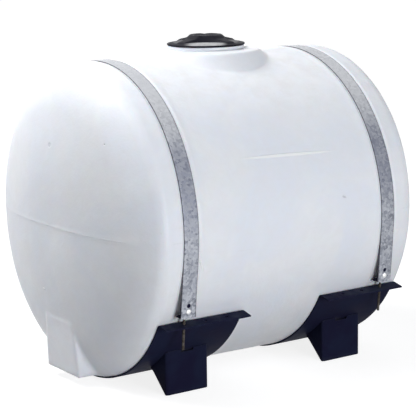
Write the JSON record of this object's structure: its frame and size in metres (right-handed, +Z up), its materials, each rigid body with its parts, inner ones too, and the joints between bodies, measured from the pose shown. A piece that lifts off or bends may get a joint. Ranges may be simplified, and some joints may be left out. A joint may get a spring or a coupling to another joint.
{
  "type": "elliptical storage tank",
  "caption": "Horizontal oval leg tank: white moulded shell held down in two steel cradles by galvanised bands, with a screw lid on top.",
  "frame": {"origin": "on the floor under the middle of the tank", "axes": "+X along the tank towards its right end, -Y towards the front, +Z up"},
  "size_m": [1.404, 1.128, 1.261],
  "materials": {
    "white_poly": "natural white moulded polyethylene, satin",
    "black_lid": "black moulded polypropylene, semi gloss",
    "gasket": "soft rubber",
    "galvanised_band": "hot-dip galvanised, spangled",
    "zinc_hardware": "zinc plated",
    "threaded_steel": "plain threaded rod, dull",
    "navy_paint": "dark navy enamel, satin"
  },
  "bodies": {
    "tank": {"barrel": "white_poly", "head_left": "white_poly", "head_right": "white_poly", "turret": "white_poly", "sump": "white_poly", "neck_ring": "white_poly", "neck_gasket": "gasket", "band_left": "galvanised_band", "band_right": "galvanised_band", "cradle_left": "navy_paint", "cradle_right": "navy_paint", "flange_left_front": "navy_paint", "flange_left_rear": "navy_paint", "flange_right_front": "navy_paint", "flange_right_rear": "navy_paint", "clip_left_front": "zinc_hardware", "clip_left_rear": "zinc_hardware", "clip_right_front": "zinc_hardware", "clip_right_rear": "zinc_hardware", "clip_bolt_left_front": "zinc_hardware", "clip_bolt_left_rear": "zinc_hardware", "clip_bolt_right_front": "zinc_hardware", "clip_bolt_right_rear": "zinc_hardware", "rod_left_front": "threaded_steel", "rod_left_rear": "threaded_steel", "rod_right_front": "threaded_steel", "rod_right_rear": "threaded_steel", "nuts_left_front": "zinc_hardware", "nuts_left_rear": "zinc_hardware", "nuts_right_front": "zinc_hardware", "nuts_right_rear": "zinc_hardware", "leg_left_front": "navy_paint", "leg_left_rear": "navy_paint", "leg_right_front": "navy_paint", "leg_right_rear": "navy_paint"},
    "lid": {"lid_cover": "black_lid", "lid_crown": "black_lid"}
  },
  "joints": [
    {"name": "lid_lift", "type": "slide", "parent": "tank", "child": "lid", "axis": [0, 0, 1], "range_m": [0, 0.3]}
  ]
}
